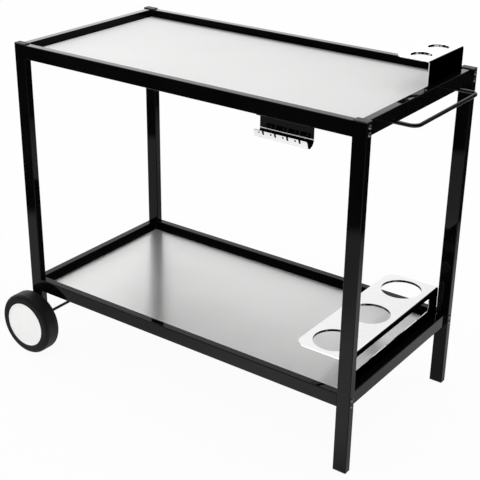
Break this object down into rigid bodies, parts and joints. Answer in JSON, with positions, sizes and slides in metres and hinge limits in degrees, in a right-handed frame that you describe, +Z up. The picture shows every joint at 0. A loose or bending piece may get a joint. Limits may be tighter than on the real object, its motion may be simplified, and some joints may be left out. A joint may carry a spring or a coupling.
{
  "type": "serving trolley",
  "caption": "Open serving trolley on wheels: tube frame, folded steel trays, push bar, bottle holder, spice rack and tool hook rail.",
  "frame": {"origin": "on the floor, under the middle of the object's whole box", "axes": "+X along the length towards the handle, +Y towards the back, +Z up"},
  "size_m": [1.12, 0.617, 0.901],
  "materials": {
    "frame_black": "gloss black powder coat",
    "cap_plastic": "fine matt dark grey",
    "tray_steel": "brushed along the length",
    "rack_steel": "polished",
    "zinc": "zinc plated",
    "bolt_black": "black oxide, satin",
    "tyre_rubber": "matt rubber",
    "hub_plastic": "moulded black",
    "hub_cap_plastic": "off-white, satin"
  },
  "bodies": {
    "frame": {"leg_front_left": "frame_black", "leg_back_left": "frame_black", "leg_front_right": "frame_black", "leg_back_right": "frame_black", "cap_front_left": "cap_plastic", "cap_back_left": "cap_plastic", "cap_front_right": "cap_plastic", "cap_back_right": "cap_plastic", "foot_front_right": "cap_plastic", "foot_back_right": "cap_plastic", "leg_plug_front_left": "cap_plastic", "leg_plug_back_left": "cap_plastic", "top_rail_front": "frame_black", "top_rail_back": "frame_black", "top_rail_left": "frame_black", "top_rail_right": "frame_black", "low_rail_front": "frame_black", "low_rail_back": "frame_black", "low_rail_left": "frame_black", "low_rail_right": "frame_black", "rail_bolts_top": "bolt_black", "rail_bolts_low": "bolt_black", "rail_blocks_top": "zinc", "rail_blocks_low": "zinc", "upper_tray": "tray_steel", "upper_tray_stiffeners": "tray_steel", "upper_tray_tabs": "frame_black", "upper_tray_screws": "zinc", "lower_tray": "tray_steel", "lower_tray_stiffeners": "tray_steel", "lower_tray_tabs": "frame_black", "lower_tray_screws": "zinc", "push_handle": "frame_black", "spice_rack": "rack_steel", "spice_rack_screws": "zinc", "bottle_holder": "rack_steel", "bottle_holder_screws": "zinc", "tool_rack": "rack_steel", "tool_rack_screws": "zinc", "axle": "frame_black", "axle_washers": "zinc", "axle_nuts": "zinc"},
    "wheel_front": {"tyre_front": "tyre_rubber", "hub_front": "hub_plastic", "hub_cap_front": "hub_cap_plastic"},
    "wheel_back": {"tyre_back": "tyre_rubber", "hub_back": "hub_plastic", "hub_cap_back": "hub_cap_plastic"}
  },
  "joints": [
    {"name": "wheel_front_spin", "type": "hinge", "parent": "frame", "child": "wheel_front", "pos_m": [-0.475, -0.284, 0.085], "axis": [0, 1, 0], "continuous": true},
    {"name": "wheel_back_spin", "type": "hinge", "parent": "frame", "child": "wheel_back", "pos_m": [-0.475, 0.284, 0.085], "axis": [0, 1, 0], "continuous": true}
  ]
}
